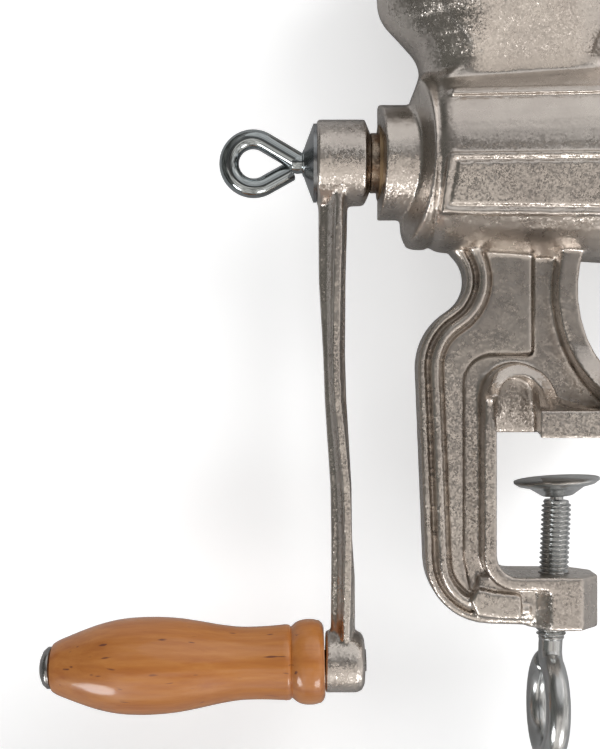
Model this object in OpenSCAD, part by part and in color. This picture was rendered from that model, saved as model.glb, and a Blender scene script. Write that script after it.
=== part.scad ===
// Hand cranked meat grinder with a table clamp.
// Origin: where the clamp screw axis meets the underside of the upper jaw, the table's top face.
// X runs forward along the barrel to the ring nut, Z runs up, and the casting's parting plane is Y = 0.

/* [Barrel] */
// Height of the auger axis over the table face
axis_z = 99.5; // [96:0.5:104]
// Radius of the bore at the rear end of the worm
bore_rear_r = 26; // [24:0.5:27]
// Radius of the bore at the front end of the worm
bore_front_r = 29.8; // [28.5:0.1:30.3]
// Outer radius of the barrel behind the hopper neck
barrel_rear_r = 33; // [31.5:0.5:34.5]
// Outer radius of the barrel where it meets the threaded mouth
barrel_front_r = 38; // [36:0.5:39.5]
// Rear face of the bearing collar
collar_rear_x = -65.7; // [-67:0.1:-64.5]
// Outer radius of the bearing collar
collar_r = 21; // [18.5:0.5:22.5]
// Radius of the rear flange of the barrel
flange_r = 32; // [31:0.5:34]
// Outer radius of the threaded mouth
mouth_r = 41; // [40:0.5:43]
// Front face of the casting
mouth_x = 58; // [57:0.5:61]

/* [Hopper] */
// Centre of the hopper along the barrel
hopper_x = -13; // [-14:0.5:-11]
// Half length of the straight run between the two round ends
hopper_half = 12.5; // [10:0.5:13]
// Radius of the round ends at the neck
neck_r = 24.9; // [23.5:0.1:26.5]
// Height of the narrowest place of the neck
neck_z = 132; // [130:0.5:136]
// Radius of the round ends at the bulge
belly_r = 40.4; // [38:0.2:41]
// Height of the widest place of the bulge
belly_z = 158.5; // [157:0.5:164]
// Radius of the round ends at the rim
rim_r = 44; // [42:0.5:44.5]
// Height of the rim
rim_z = 205; // [195:1:225]
// Wall of the hopper
hopper_wall = 3.5; // [3:0.1:4.5]
// Half width of the hopper's flat sides at the neck
side_half = 22; // [20.5:0.1:24]
// Lean of the flat sides off plumb
side_lean = 22; // [18:0.5:26]

/* [Clamp leg] */
// Gap between the jaws
jaw_gap = 51.7; // [46:0.1:60]
// Inner face of the spine
throat_x = -23.6; // [-25:0.1:-22]
// Width of the spine from its outer edge to its inner face, at the table face
spine_w = 27.4; // [25:0.1:30]
// Angle by which the spine runs off plumb
spine_lean = 2.3; // [0:0.1:4]
// Half width of the inner rim and of the lower arm
rim_half = 13; // [11.5:0.5:15]
// Width of the inner rim
inner_rim_w = 4.9; // [4:0.1:6]
// Half thickness of the web
web_half = 3.5; // [3:0.1:4.5]
// Half width of the jaw foot
foot_half = 38; // [34:0.5:40]
// Height of the foot plate
foot_h = 9; // [7:0.5:11]
// Front end of the foot
foot_front_x = 24; // [20:0.5:26]
// Depth of the lower arm's boss
boss_h = 19.3; // [17:0.1:22]
// Corner radius of the eight sided boss
boss_r = 14; // [12.5:0.5:15]

/* [Clamp screw] */
// Outer diameter of the clamp thread
screw_d = 10.8; // [9.8:0.2:12]
// Angle of the screw off plumb
screw_lean = 2.5; // [0:0.5:4]
// Radius of the swivel pad
pad_r = 15.6; // [14:0.2:16.5]
// Height of the pad's face under the table face, as drawn
pad_drop = 17.4; // [16.5:0.1:24]
// Tilt of the swivel pad off level
pad_tilt = -4.3; // [-5:0.1:5]
// Diameter of the rod that forms the screw's loop
loop_rod_d = 8.7; // [7.5:0.1:9.3]
// Mean radius of the screw's loop
loop_r = 16.5; // [14:0.5:20]

/* [Auger] */
// Radius of the rear journal
journal_r = 11; // [9:0.5:11.5]
// Half width across the flats of the crank's square
square_half = 6; // [5:0.5:7]
// Pitch of the worm
worm_pitch = 30; // [26:1:36]
// Gap between the worm and the bore
worm_gap = 1.2; // [0.8:0.1:2]
// Core radius at the rear of the worm
core_rear_r = 13; // [12.5:0.5:15]
// Core radius at the front of the worm
core_front_r = 16; // [15:0.5:18]

/* [Knife and plate] */
// Radius of the grinding plate
plate_r = 35; // [34.4:0.1:35.4]
// Thickness of the grinding plate
plate_t = 8; // [6:0.5:9]
// Diameter of the plate's holes
plate_hole_d = 7; // [5:0.5:7.5]
// Radius of the knife over its blade tips
knife_r = 29.5; // [27:0.5:30]
// Thickness of the knife
knife_t = 8; // [6.5:0.5:8.5]
// Wall of the ring nut over the thread
ring_wall = 6; // [4:0.5:8]
// How far each lug of the ring nut stands out
lug_out = 5; // [3:0.5:7]

/* [Crank] */
// Distance from the auger axis to the grip axis
crank_radius = 184.3; // [165:0.1:210]
// Radius of the crank's hub
hub_r = 15.8; // [14:0.1:17]
// Length of the crank's hub
hub_len = 19.5; // [18.5:0.5:22]
// Radius of the boss at the grip end
grip_boss_r = 11.2; // [10:0.1:13]
// Width of the arm's plate at the hub
arm_w_top = 22; // [18:1:26]
// Width of the arm's plate at the grip end
arm_w_end = 16; // [13:1:19]
// Thickness of the arm's plate
arm_plate_t = 2.8; // [2.4:0.1:3.6]
// Diameter of the rod of the crank bolt
bolt_rod_d = 7.3; // [6.4:0.1:8]
// Mean radius of the crank bolt's loop
bolt_loop_r = 8.9; // [8:0.1:10]
// Radius of the conical washer
cone_r = 14.4; // [12.5:0.1:15.2]

/* [Grip] */
// Length of the wooden grip
grip_len = 100.5; // [85:0.5:115]
// Largest radius of the grip
grip_r = 17.5; // [15.5:0.5:19.5]
// Radius of the spindle inside the grip
spindle_r = 4; // [3.5:0.1:5]
// Tilt of the grip's axis
grip_tilt = 1.4; // [0:0.1:2.5]

/* [Hidden] */
$fn = 64;

tin = [0.66, 0.64, 0.60];
steel = [0.74, 0.75, 0.76];
zinc = [0.50, 0.50, 0.48];
bronze = [0.66, 0.50, 0.30];
wood = [0.72, 0.42, 0.18];

// Clearances and small steps
run_gap = 0.05;
slip_gap = 0.2;
eps = 0.01;
arc_n = 10;

// Stations along the barrel
collar_len = 8.3;
wall_x = collar_rear_x + collar_len;
end_r = 9;
end_draft = 0.32;
collar_draft = 0.1;
end_bevel = 0.34;
bevel_h = 11.5;
rim_x = wall_x + 9.8;
bore_x = wall_x + 11.4;
washer_t = 2;
worm_start_x = bore_x + washer_t;
seat_depth = 4;
seat_x = mouth_x - seat_depth;
knife_x = seat_x - knife_t;
chamber_x = knife_x - 2;
chamber_r = 31;
thread_x = mouth_x - 16;

// Clamp leg: the rear edge is a hollow arc, a shoulder arc, a straight spine and a corner arc
shoulder_r = 24.4;
shoulder_c = [throat_x - spine_w + shoulder_r - 0.5, 24];
notch_r = 13;
notch_a = 121.7;
notch_c = shoulder_c + (shoulder_r + notch_r) * [cos(notch_a), sin(notch_a)];
notch_top_a = 50;
corner_r = 23.5;
arm_under_a = 268;
arm_run = 15;
spine_end = jaw_gap + 18.8;
arm_z = -jaw_gap;
edge_a = 180 + spine_lean;
shoulder_p = shoulder_c + shoulder_r * [cos(edge_a), sin(edge_a)];
spine_run = (shoulder_p[1] + spine_end - corner_r + 0.2) / cos(spine_lean);
corner_c = shoulder_p + spine_run * [sin(spine_lean), -cos(spine_lean)]
         - corner_r * [cos(edge_a), sin(edge_a)];
leg_top_z = axis_z - 26;
front_neck_x = 5.5;
front_r = 48;
front_z = 52;
flange_t = 7.5;
window_r = 8;
arch_r = 7.3;
arch_c = [throat_x + arch_r, 13.2];
arch_spread = 2;
arch_bevel = 3.4;
channel_w = 6.1;
channel_top = 3.1;
slab_corner_r = 10.5;
slab_low_a = 242;
slab_front_x = -9.3;
slab_in = 9.2;
slab_half = 6;
boss_x = 1.5;
boss_z = arm_z - boss_h;

// Foot flare, seen from the front
flare_r = 25;
flare_z = foot_h + flare_r;
foot_rear_in = -7;
foot_rear_out = -13.6;

// Clamp screw
screw_r = screw_d / 2;
lean_z = -40;
ball_r = 3.4;
ball_drop = 4.1;
ball_z = -pad_drop - ball_drop;
pad_h = 5.9;
thread_top_z = ball_z - 2.8;
thread_end_z = boss_z - 5.5;
loop_top_z = boss_z - 9.5;
loop_z = loop_top_z - loop_rod_d / 2 - loop_r;

// Crank
hub_front_x = collar_rear_x - 3.1;
hub_rear_x = hub_front_x - hub_len;
thread_m_r = 4;
cone_h = 4.4;
cone_x = hub_rear_x - 0.4;
neck_x = cone_x - cone_h;
bolt_depth = 17;
grip_boss_len = 14.4;
grip_face_x = hub_front_x - 16.2;
grip_z = axis_z - crank_radius;

// A row of points on an arc, from angle a0 to angle a1
function arc(c, r, a0, a1, n = arc_n) =
    [for (i = [0 : n]) c + r * [cos(a0 + (a1 - a0) * i / n), sin(a0 + (a1 - a0) * i / n)]];
function reversed(p) = [for (i = [len(p) - 1 : -1 : 0]) p[i]];

// Rear edge of the leg from the barrel round the lower corner, moved in by d
function rear_edge(d, end_a = arm_under_a) = concat(
    [[notch_c[0] + (notch_r + d) * cos(notch_top_a), leg_top_z]],
    arc(notch_c, notch_r + d, notch_top_a, notch_a - 180),
    arc(shoulder_c, shoulder_r - d, notch_a, edge_a),
    arc(corner_c, corner_r - d, edge_a, end_a));

// The same edge carried on under the lower arm as far as its boss
function long_edge(d) = concat(
    rear_edge(d),
    [corner_c + (corner_r - d) * [cos(arm_under_a), sin(arm_under_a)]
     + arm_run * [-sin(arm_under_a), cos(arm_under_a)]]);

// Front edge of the leg from the barrel to the foot, moved in by d
front_c = [front_neck_x + front_r, front_z];
front_top_a = 180 - asin((leg_top_z - front_z) / front_r);
front_low_a = 180 + acos((front_c[0] - foot_front_x) / front_r);
function front_edge(d) = arc(front_c, front_r + d, front_top_a, front_low_a);

// Wall of the hopper in [radius, height], moved in by d
skirt_r = neck_r + 4.4;
skirt_z = neck_z - 17;
neck_fillet = 12.6;
belly_fillet = 14;
function hopper_wall_line(d) = concat(
    [[skirt_r - d, skirt_z]],
    arc([neck_r + neck_fillet, neck_z], neck_fillet + d, 180, 135, 5),
    arc([belly_r - belly_fillet, belly_z], belly_fillet - d, -45, 0, 6));

// Turns a solid drawn along Z so that it lies along the auger axis
module on_axis(x = 0) {
    translate([x, 0, axis_z])
        rotate([0, 90, 0])
            children();
}

// A plate of the leg: an outline in X and Z, spread evenly over the parting plane
module side_plate(half) {
    rotate([90, 0, 0])
        linear_extrude(2 * half, center = true)
            children();
}

// A shape drawn in Y and Z, run along X
module front_run(x0, x1) {
    translate([x0, 0, 0])
        rotate([90, 0, 90])
            linear_extrude(x1 - x0)
                children();
}

// Places what stands on the leaning axis of the clamp screw
module on_screw() {
    translate([0, 0, lean_z])
        rotate([0, screw_lean, 0])
            translate([0, 0, -lean_z])
                children();
}

// A hollow or solid with two round ends and a straight middle, from a line of [radius, height]
module hopper_body(line) {
    low = line[0][1];
    high = line[len(line) - 1][1];
    outline = concat([[0, low]], line, [[0, high]]);
    both = concat(line, reversed([for (p = line) [-p[0], p[1]]]));
    for (side = [-1, 1])
        translate([hopper_x + side * hopper_half, 0, 0])
            rotate([0, 0, -90 * side])
                rotate_extrude(angle = 180)
                    polygon(outline);
    front_run(hopper_x - hopper_half, hopper_x + hopper_half)
        polygon(both);
}

// Room between the flat sides, which lean out from the neck upwards, moved in by d
module between_sides(d) {
    top = rim_z + 1;
    low = side_half - d - (neck_z - axis_z) * tan(side_lean);
    high = side_half - d + (top - neck_z) * tan(side_lean);
    front_run(hopper_x - 2 * rim_r, hopper_x + 2 * rim_r)
        polygon([[-low, axis_z], [-high, top], [high, top], [low, axis_z]]);
}

rim_bead = 2;
module hopper_outside() {
    intersection() {
        hopper_body(concat(
            [[skirt_r, axis_z]],
            hopper_wall_line(0),
            [[rim_r - 1, rim_z - 7], [rim_r + rim_bead, rim_z - 5], [rim_r + rim_bead, rim_z - 1.5],
             [rim_r + rim_bead - 1.5, rim_z]]));
        between_sides(0);
    }
}

module hopper_inside() {
    intersection() {
        hopper_body(concat(
            [[skirt_r - hopper_wall - 4, axis_z]],
            hopper_wall_line(hopper_wall),
            [[rim_r - hopper_wall + 1, rim_z + eps]]));
        between_sides(hopper_wall);
    }
}

// Block in front of a rear face that is drafted back from the parting plane
module drafted_block(x0, draft, half, x1) {
    ridge = 2;
    back = x0 + draft * (half - ridge);
    translate([0, 0, axis_z])
        linear_extrude(2 * half, center = true)
            polygon([[x0, ridge], [back, half], [x1, half], [x1, -half], [back, -half], [x0, -ridge]]);
}

// Rear end of the barrel: a drum with a drafted end wall, rounded below and bevelled above
module barrel_end() {
    half = flange_r + 1;
    intersection() {
        on_axis(wall_x)
            cylinder(r = flange_r, h = rim_x - wall_x);
        side_plate(half)
            polygon(concat(
                [[wall_x, axis_z + bevel_h], [wall_x + end_bevel * (half - bevel_h), axis_z + half],
                 [rim_x, axis_z + half], [rim_x, axis_z - half], [wall_x + end_r, axis_z - half]],
                arc([wall_x + end_r, axis_z - flange_r + end_r - 0.6], end_r, 265, 180)));
        drafted_block(wall_x, end_draft, half, rim_x + 1);
    }
}

// Outer form of the barrel with its collar, end wall, rim, cone and threaded mouth
module barrel_outside() {
    groove = 1;
    core_x = rim_x - 0.3;
    intersection() {
        on_axis(collar_rear_x)
            cylinder(r = collar_r, h = rim_x - collar_rear_x);
        drafted_block(collar_rear_x, collar_draft, collar_r + 1, rim_x + 1);
    }
    barrel_end();
    on_axis()
        rotate_extrude()
            polygon([[0, core_x], [flange_r - groove, core_x], [flange_r - groove, rim_x + 1.2],
                     [barrel_rear_r - 0.6, rim_x + 3.2], [barrel_rear_r, rim_x + 5.8],
                     [barrel_front_r, thread_x - 5], [mouth_r - 0.6, thread_x - 1.5],
                     [mouth_r, thread_x], [mouth_r, mouth_x - 1], [mouth_r - 1, mouth_x], [0, mouth_x]]);
}

// On each flank of the barrel a flat bare panel with a grooved border, and a long bead above it
panel_x0 = -44;
panel_len = 77;
panel_top = 3;
panel_h = 20.5;
panel_tilt = 8;
panel_stand = 1.6;
panel_deep = 12;
groove_in = 1.8;
groove_w = 1.5;
groove_deep = 0.9;
bead_low = 18;
bead_h = 3;
bead_out = 1.6;
flank_lean = atan((barrel_front_r - barrel_rear_r) / (thread_x - 5 - panel_x0));

// Outline of a panel in X and Z, moved in by d; its rear and lower edges slope
function panel_outline(d) =
    [[d, -d], [panel_len - d, -d], [panel_len - d, -panel_h - 1.5 + d], [d - 2.5, -panel_h + d]];

module flank_panel(side) {
    translate([panel_x0, side * (barrel_rear_r + panel_stand), axis_z - panel_top])
        rotate([0, 0, side * flank_lean])
            rotate([-side * panel_tilt, 0, 0])
                difference() {
                    translate([0, -side * panel_deep / 2, 0])
                        side_plate(panel_deep / 2)
                            polygon(panel_outline(0));
                    side_plate(groove_deep)
                        difference() {
                            polygon(panel_outline(groove_in));
                            polygon(panel_outline(groove_in + groove_w));
                        }
                }
}

module flank_panels() {
    for (side = [-1, 1])
        flank_panel(side);
    intersection() {
        on_axis(panel_x0)
            cylinder(r1 = barrel_rear_r + bead_out,
                     r2 = barrel_rear_r + bead_out + tan(flank_lean) * panel_len, h = panel_len);
        translate([panel_x0 + 1.5, -2 * barrel_front_r, axis_z + bead_low])
            cube([panel_len - 1.5, 4 * barrel_front_r, bead_h]);
    }
}

// A band along the rear edge of the leg, with a bevelled crest
module edge_bead(d0, d1, half) {
    bevel = 0.8;
    side_plate(half)
        polygon(concat(long_edge(d0), reversed(long_edge(d1))));
    side_plate(half + bevel)
        polygon(concat(long_edge(d0 + bevel), reversed(long_edge(d1 - bevel))));
}

// The gap between the jaws, rounded where the spine meets the lower arm
module jaw_window() {
    far = 80;
    translate([throat_x, arm_z + window_r])
        square([far, jaw_gap - window_r]);
    translate([throat_x + window_r, arm_z])
        square([far - window_r, window_r + 1]);
    translate([throat_x + window_r, arm_z + window_r])
        circle(window_r);
}

// Web in the parting plane: the whole open C of the leg
module web_outline() {
    difference() {
        polygon(concat(
            rear_edge(1.5),
            [[boss_x, boss_z + 1], [boss_x, lean_z], [foot_front_x - 1, lean_z], [foot_front_x - 1, eps]],
            reversed(front_edge(1))));
        jaw_window();
    }
}

// Raised slab on the web, which runs down the spine as a panel and ends in a tip at the lower corner
module slab_outline() {
    side_x = throat_x - inner_rim_w - channel_w;
    low_z = arch_c[1] + arch_r + inner_rim_w + channel_top;
    polygon(concat(
        rear_edge(slab_in, slab_low_a),
        [[side_x + 1.1, arm_z + 0.4], [side_x, arm_z + 6.4]],
        arc([side_x + slab_corner_r, low_z - slab_corner_r], slab_corner_r, 180, 90),
        [[slab_front_x, low_z], [slab_front_x, leg_top_z]]));
}

// Inner rim: down the spine, round the corner and along the lower arm
module inner_rim_outline() {
    w = inner_rim_w;
    difference() {
        union() {
            translate([throat_x - w, arm_z + window_r])
                square([w, jaw_gap - window_r + arch_c[1]]);
            translate([throat_x + window_r, arm_z - w])
                square([boss_x - throat_x - window_r, w]);
            intersection() {
                translate([throat_x + window_r, arm_z + window_r])
                    circle(window_r + w);
                translate([throat_x - w, arm_z - w])
                    square(window_r + w);
            }
        }
        jaw_window();
        translate(arch_c)
            circle(arch_r);
    }
}

// Arch over the gap beside the spine, its right leg spreading into the foot
module arch_outline() {
    outer = arch_r + inner_rim_w;
    difference() {
        union() {
            translate(arch_c)
                circle(outer);
            polygon([[arch_c[0], arch_c[1]], [arch_c[0] + outer, arch_c[1]],
                     [foot_front_x - 16, foot_h], [foot_front_x - 16, 0], [arch_c[0], 0]]);
        }
        translate(arch_c)
            circle(arch_r);
        polygon([[throat_x - outer, -1], [throat_x - outer, arch_c[1]], [throat_x + 2 * arch_r, arch_c[1]],
                 [throat_x + 2 * arch_r + arch_spread, -1]]);
    }
}

// Bevel round the mouth of the arch, on both faces of the leg; the spine keeps its full rim below it
module arch_bevels() {
    far = 2 * arch_r;
    difference() {
        for (side = [-1, 1])
            translate([arch_c[0], side * web_half, arch_c[1]])
                rotate([-90 * side, 0, 0])
                    cylinder(r1 = arch_r, r2 = arch_r + arch_bevel, h = rim_half - web_half + eps);
        translate([arch_c[0] - far, -far, arch_c[1] - far])
            cube([far, 2 * far, far]);
    }
}

// Spread of the foot seen from the front, with a hollow flare on each side
module flare_outline() {
    top = leg_top_z;
    difference() {
        translate([-foot_half, 0])
            square([2 * foot_half, top]);
        for (side = [-1, 1]) {
            translate([side * foot_half, flare_z])
                circle(flare_r);
            translate([side > 0 ? rim_half : -foot_half - 1, flare_z])
                square([foot_half + 1 - rim_half, top]);
        }
    }
}

module foot() {
    intersection() {
        union() {
            side_plate(foot_half)
                arch_outline();
            side_plate(foot_half)
                polygon(concat(front_edge(0), [[foot_front_x, 0], [foot_front_x - flange_t, 0]],
                               reversed(front_edge(flange_t))));
            linear_extrude(foot_h)
                polygon([[foot_rear_in, 0], [foot_rear_out, foot_half], [foot_front_x, foot_half],
                         [foot_front_x, -foot_half], [foot_rear_out, -foot_half]]);
        }
        front_run(-60, 60)
            flare_outline();
    }
}

// Lower arm: a thick middle, a raised panel on each face that the beads run into, and the boss
arm_half = 8;
arm_panel_half = 11.5;
panel_top_z = arm_z - inner_rim_w - 1.2;
panel_low_z = panel_top_z - 9.5;
panel_front_x = boss_x - 16;
module lower_arm() {
    side_plate(arm_half)
        intersection() {
            polygon(concat(long_edge(2.5), [[boss_x, boss_z + 1.5], [boss_x, arm_z], [throat_x - 6, arm_z]]));
            translate([throat_x - 6, boss_z])
                square([40, boss_h - 0.5]);
        }
    side_plate(arm_panel_half)
        polygon(concat(
            [[throat_x - 6.7, panel_top_z + 1.8], [throat_x - 9.2, panel_top_z - 2.4],
             [throat_x - 6.7, panel_low_z + 1.6], [throat_x - 2.4, panel_low_z + 0.8]],
            arc([panel_front_x - 1.6, panel_low_z + 1.8], 1.6, 270, 360, 4),
            arc([panel_front_x - 1.6, panel_top_z - 1.8], 1.6, 0, 90, 4),
            [[throat_x, panel_top_z + 0.4]]));
    translate([boss_x, 0, boss_z])
        rotate([0, 0, 22.5])
            cylinder(r = boss_r, h = boss_h, $fn = 8);
}

// Two beads run along the rear edge of the leg, the inner one standing out further
bead_a_w = 3.2;
bead_a_half = 6;
bead_b_in = 4.4;
bead_b_w = 3.6;
bead_b_half = 8.6;
module leg() {
    side_plate(web_half)
        web_outline();
    side_plate(slab_half)
        slab_outline();
    edge_bead(0, bead_a_w, bead_a_half);
    edge_bead(bead_b_in, bead_b_in + bead_b_w, bead_b_half);
    difference() {
        union() {
            side_plate(rim_half)
                inner_rim_outline();
            foot();
        }
        arch_bevels();
    }
    lower_arm();
}

bush_wall = 2.6;
bush_r = journal_r + run_gap + bush_wall;
pin_r = 1.25;
pin_out = (chamber_r + plate_r) / 2 + 0.1;

module body_casting() {
    color(tin)
        difference() {
            union() {
                barrel_outside();
                hopper_outside();
                flank_panels();
                leg();
            }
            hopper_inside();
            on_axis(bore_x)
                cylinder(r1 = bore_rear_r, r2 = bore_front_r, h = chamber_x - bore_x);
            on_axis(chamber_x - eps)
                cylinder(r = chamber_r, h = mouth_x - chamber_x);
            on_axis(seat_x)
                cylinder(r = plate_r + 0.1, h = seat_depth + 1);
            on_axis(collar_rear_x - 1)
                cylinder(r = bush_r, h = bore_x - collar_rear_x + 2);
            on_screw()
                translate([0, 0, boss_z - 3])
                    cylinder(r = screw_r + run_gap, h = boss_h + 6);
            translate([seat_x - 5, 0, axis_z - pin_out])
                rotate([0, 90, 0])
                    cylinder(r = pin_r, h = 5 + 1);
        }
}

module rear_bush() {
    color(bronze)
        on_axis(collar_rear_x)
            difference() {
                cylinder(r = bush_r, h = bore_x - collar_rear_x);
                translate([0, 0, -1])
                    cylinder(r = journal_r + run_gap, h = bore_x - collar_rear_x + 2);
            }
}

module thrust_washer() {
    color(bronze)
        on_axis(bore_x)
            difference() {
                cylinder(r = core_rear_r + 6, h = washer_t);
                translate([0, 0, -1])
                    cylinder(r = journal_r + slip_gap, h = washer_t + 2);
            }
}

// Worm flight: a tapered ridge on a left handed helix, four points to a ring
worm_x0 = worm_start_x + 5;
worm_x1 = chamber_x - 5;
worm_turns = (worm_x1 - worm_x0) / worm_pitch;
ring_step = 15;
ring_n = floor(worm_turns * 360 / ring_step);
root_half = 4.2;
tip_half = 1.7;
function bore_at(x) = bore_rear_r + (bore_front_r - bore_rear_r) * (x - bore_x) / (chamber_x - bore_x);
function run_in(i) = min(1, min(i, ring_n - i) / 6);
function worm_ring(i) =
    let (a = i * ring_step,
         x = worm_x0 + worm_pitch * a / 360,
         root = core_rear_r - 2.5,
         tip = root + 2 + (bore_at(x) - worm_gap - root - 2) * run_in(i))
    [for (p = [[-root_half, root], [-tip_half, tip], [tip_half, tip], [root_half, root]])
        [p[1] * cos(a), -p[1] * sin(a), x + p[0]]];
function worm_quad(a, b, c, d) = [[c, b, a], [d, c, a]];
worm_points = [for (i = [0 : ring_n]) each worm_ring(i)];
worm_faces = concat(
    [[1, 2, 3], [0, 1, 3]],
    [for (i = [0 : ring_n - 1], k = [0 : 3])
        each worm_quad(4 * i + k, 4 * i + (k + 1) % 4, 4 * (i + 1) + (k + 1) % 4, 4 * (i + 1) + k)],
    [[4 * ring_n + 2, 4 * ring_n + 1, 4 * ring_n], [4 * ring_n + 3, 4 * ring_n + 2, 4 * ring_n]]);

stud_square = 5.5;
stud_bore_r = 4.5;
stud_bore_depth = 14;
worm_end_x = knife_x;

module auger() {
    color(tin)
        difference() {
            union() {
                on_axis(worm_start_x)
                    cylinder(r1 = core_rear_r, r2 = core_front_r, h = worm_end_x - worm_start_x);
                on_axis()
                    polyhedron(worm_points, worm_faces);
                on_axis(hub_front_x)
                    cylinder(r = journal_r, h = worm_start_x - hub_front_x + 1);
                translate([hub_rear_x + 2.5, -square_half, axis_z - square_half])
                    cube([hub_len - 2, 2 * square_half, 2 * square_half]);
            }
            on_axis(hub_rear_x)
                cylinder(r = thread_m_r + run_gap, h = bolt_depth + 4);
            on_axis(worm_end_x - stud_bore_depth)
                cylinder(r = stud_bore_r, h = stud_bore_depth + 1);
        }
}

// Stud screwed into the worm's front end: a square that drives the knife, then a journal in the plate
journal_front_r = 5.2;
module drive_stud() {
    color(steel)
        union() {
            on_axis(worm_end_x - stud_bore_depth + 1)
                cylinder(r = stud_bore_r, h = stud_bore_depth);
            translate([worm_end_x, -stud_square, axis_z - stud_square])
                cube([seat_x - worm_end_x, 2 * stud_square, 2 * stud_square]);
            on_axis(seat_x - 1)
                cylinder(r = journal_front_r, h = plate_t + 1 - slip_gap);
        }
}

// Four bladed knife, flat against the plate and bevelled behind each cutting edge
knife_hub_r = 11;
blade_w = 9;
blade_low = 6;
blade_edge = 1.5;
module knife() {
    color(steel)
        on_axis(knife_x)
            difference() {
                union() {
                    cylinder(r = knife_hub_r, h = knife_t);
                    intersection() {
                        for (i = [0 : 3])
                            rotate([0, 0, 90 * i])
                                rotate([90, 0, 90])
                                    linear_extrude(knife_r)
                                        polygon([[-blade_w / 2, knife_t], [blade_w / 2, knife_t],
                                                 [blade_w / 2, knife_t - blade_edge],
                                                 [0, knife_t - blade_low],
                                                 [-blade_w / 2, knife_t - blade_low]]);
                        cylinder(r = knife_r, h = knife_t);
                    }
                }
                translate([-stud_square - run_gap, -stud_square - run_gap, -1])
                    cube([2 * (stud_square + run_gap), 2 * (stud_square + run_gap), knife_t + 2]);
            }
}

module grinding_plate() {
    rows = [[12.2, 6], [20.6, 12], [29, 18]];
    color(steel)
        difference() {
            on_axis(seat_x)
                cylinder(r = plate_r, h = plate_t);
            on_axis(seat_x - 1)
                cylinder(r = journal_front_r + run_gap, h = plate_t + 2);
            for (row = rows, i = [0 : row[1] - 1])
                on_axis(seat_x - 1)
                    rotate([0, 0, (i + 0.5) * 360 / row[1]])
                        translate([row[0], 0, 0])
                            cylinder(r = plate_hole_d / 2, h = plate_t + 2);
            translate([seat_x - 1, -pin_r - slip_gap, axis_z - plate_r - 1])
                cube([plate_t + 2, 2 * (pin_r + slip_gap), plate_r + 1 - pin_out + pin_r + slip_gap]);
        }
}

module plate_pin() {
    color(steel)
        translate([seat_x - 5, 0, axis_z - pin_out])
            rotate([0, 90, 0])
                cylinder(r = pin_r, h = 5 + seat_depth - 0.5);
}

ring_r = mouth_r + ring_wall;
nut_rear_x = thread_x + 2;
nut_lip = 4;
lug_w = 12;
lug_draft = 2.5;
plate_overlap = 3.5;
module ring_nut() {
    front = seat_x + plate_t;
    color(tin)
        difference() {
            union() {
                on_axis()
                    rotate_extrude()
                        polygon([[mouth_r - 2, nut_rear_x], [ring_r - 1, nut_rear_x], [ring_r, nut_rear_x + 1],
                                 [ring_r, front], [ring_r - ring_wall / 2, front + nut_lip],
                                 [mouth_r - 2, front + nut_lip]]);
                for (i = [0 : 3])
                    translate([0, 0, axis_z])
                        rotate([45 + 90 * i, 0, 0])
                            translate([nut_rear_x + 1.5, -lug_w / 2, ring_r - ring_wall / 2])
                                rotate([90, 0, 90])
                                    linear_extrude(front - nut_rear_x - 1)
                                        polygon([[0, 0], [lug_w, 0],
                                                 [lug_w - lug_draft, ring_wall / 2 + lug_out],
                                                 [lug_draft, ring_wall / 2 + lug_out]]);
                on_axis(front)
                    cylinder(r = mouth_r, h = nut_lip);
            }
            on_axis(nut_rear_x - 1)
                cylinder(r = mouth_r + run_gap, h = front - nut_rear_x + 1);
            on_axis(nut_rear_x)
                cylinder(r = plate_r - plate_overlap, h = front);
        }
}

// Stations down the crank's bent arm: share of its length, then rear edge, ridge and front edge
// behind the hub's front face
arm_stations = [[0.03, 18.8, 11.2, 7.9], [0.10, 18.8, 11.3, 8.1], [0.235, 18.6, 12.1, 8.8], [0.385, 17, 12.6, 9],
                [0.475, 16.4, 12, 8.5], [0.545, 15.6, 10.6, 7.7], [0.65, 14.3, 8.7, 6.6], [0.75, 14, 8.1, 6.4],
                [0.83, 14, 8.3, 5.4], [0.93, 14.2, 8.7, 5.3], [1, 14.2, 8.8, 5.4]];

// Section of the arm at a station, eight points to a side: a ridge on each face, hollow flanks and two ribs
arm_rib_half = 2.6;
hub_bevel = 4.5;
flank_share = [0.15, 0.45];
flank_out = [0.5, 0.12];
function flank_point(ridge, rib, half, i) =
    [ridge + (rib - ridge) * flank_share[i], arm_rib_half + (half - arm_rib_half) * flank_out[i]];
function arm_half_section(s, half) =
    let (rear = s[2] + arm_plate_t / 2, front = s[2] - arm_plate_t / 2)
    [[front, half], [rear, half], flank_point(rear, s[1], half, 0), flank_point(rear, s[1], half, 1),
     [s[1], arm_rib_half], [s[3], arm_rib_half], flank_point(front, s[3], half, 1),
     flank_point(front, s[3], half, 0)];
function arm_ring(s) =
    let (half = (arm_w_top + (arm_w_end - arm_w_top) * s[0]) / 2,
         p = arm_half_section(s, half),
         z = axis_z - s[0] * crank_radius)
    concat([for (k = [0 : 4]) [hub_front_x - p[k][0], -p[k][1], z]],
           [for (k = [4 : -1 : 0]) [hub_front_x - p[k][0], p[k][1], z]],
           [for (k = [7, 6, 5]) [hub_front_x - p[k][0], p[k][1], z]],
           [for (k = [5, 6, 7]) [hub_front_x - p[k][0], -p[k][1], z]]);
arm_n = 16;
arm_last = len(arm_stations) - 1;
arm_points = [for (s = arm_stations) each arm_ring(s)];
arm_middles = [for (i = [0, arm_last])
    [hub_front_x - arm_stations[i][2], 0, axis_z - arm_stations[i][0] * crank_radius]];
function arm_quad(a, b, c, d) = [[b, a, c], [b, c, d]];
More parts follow.
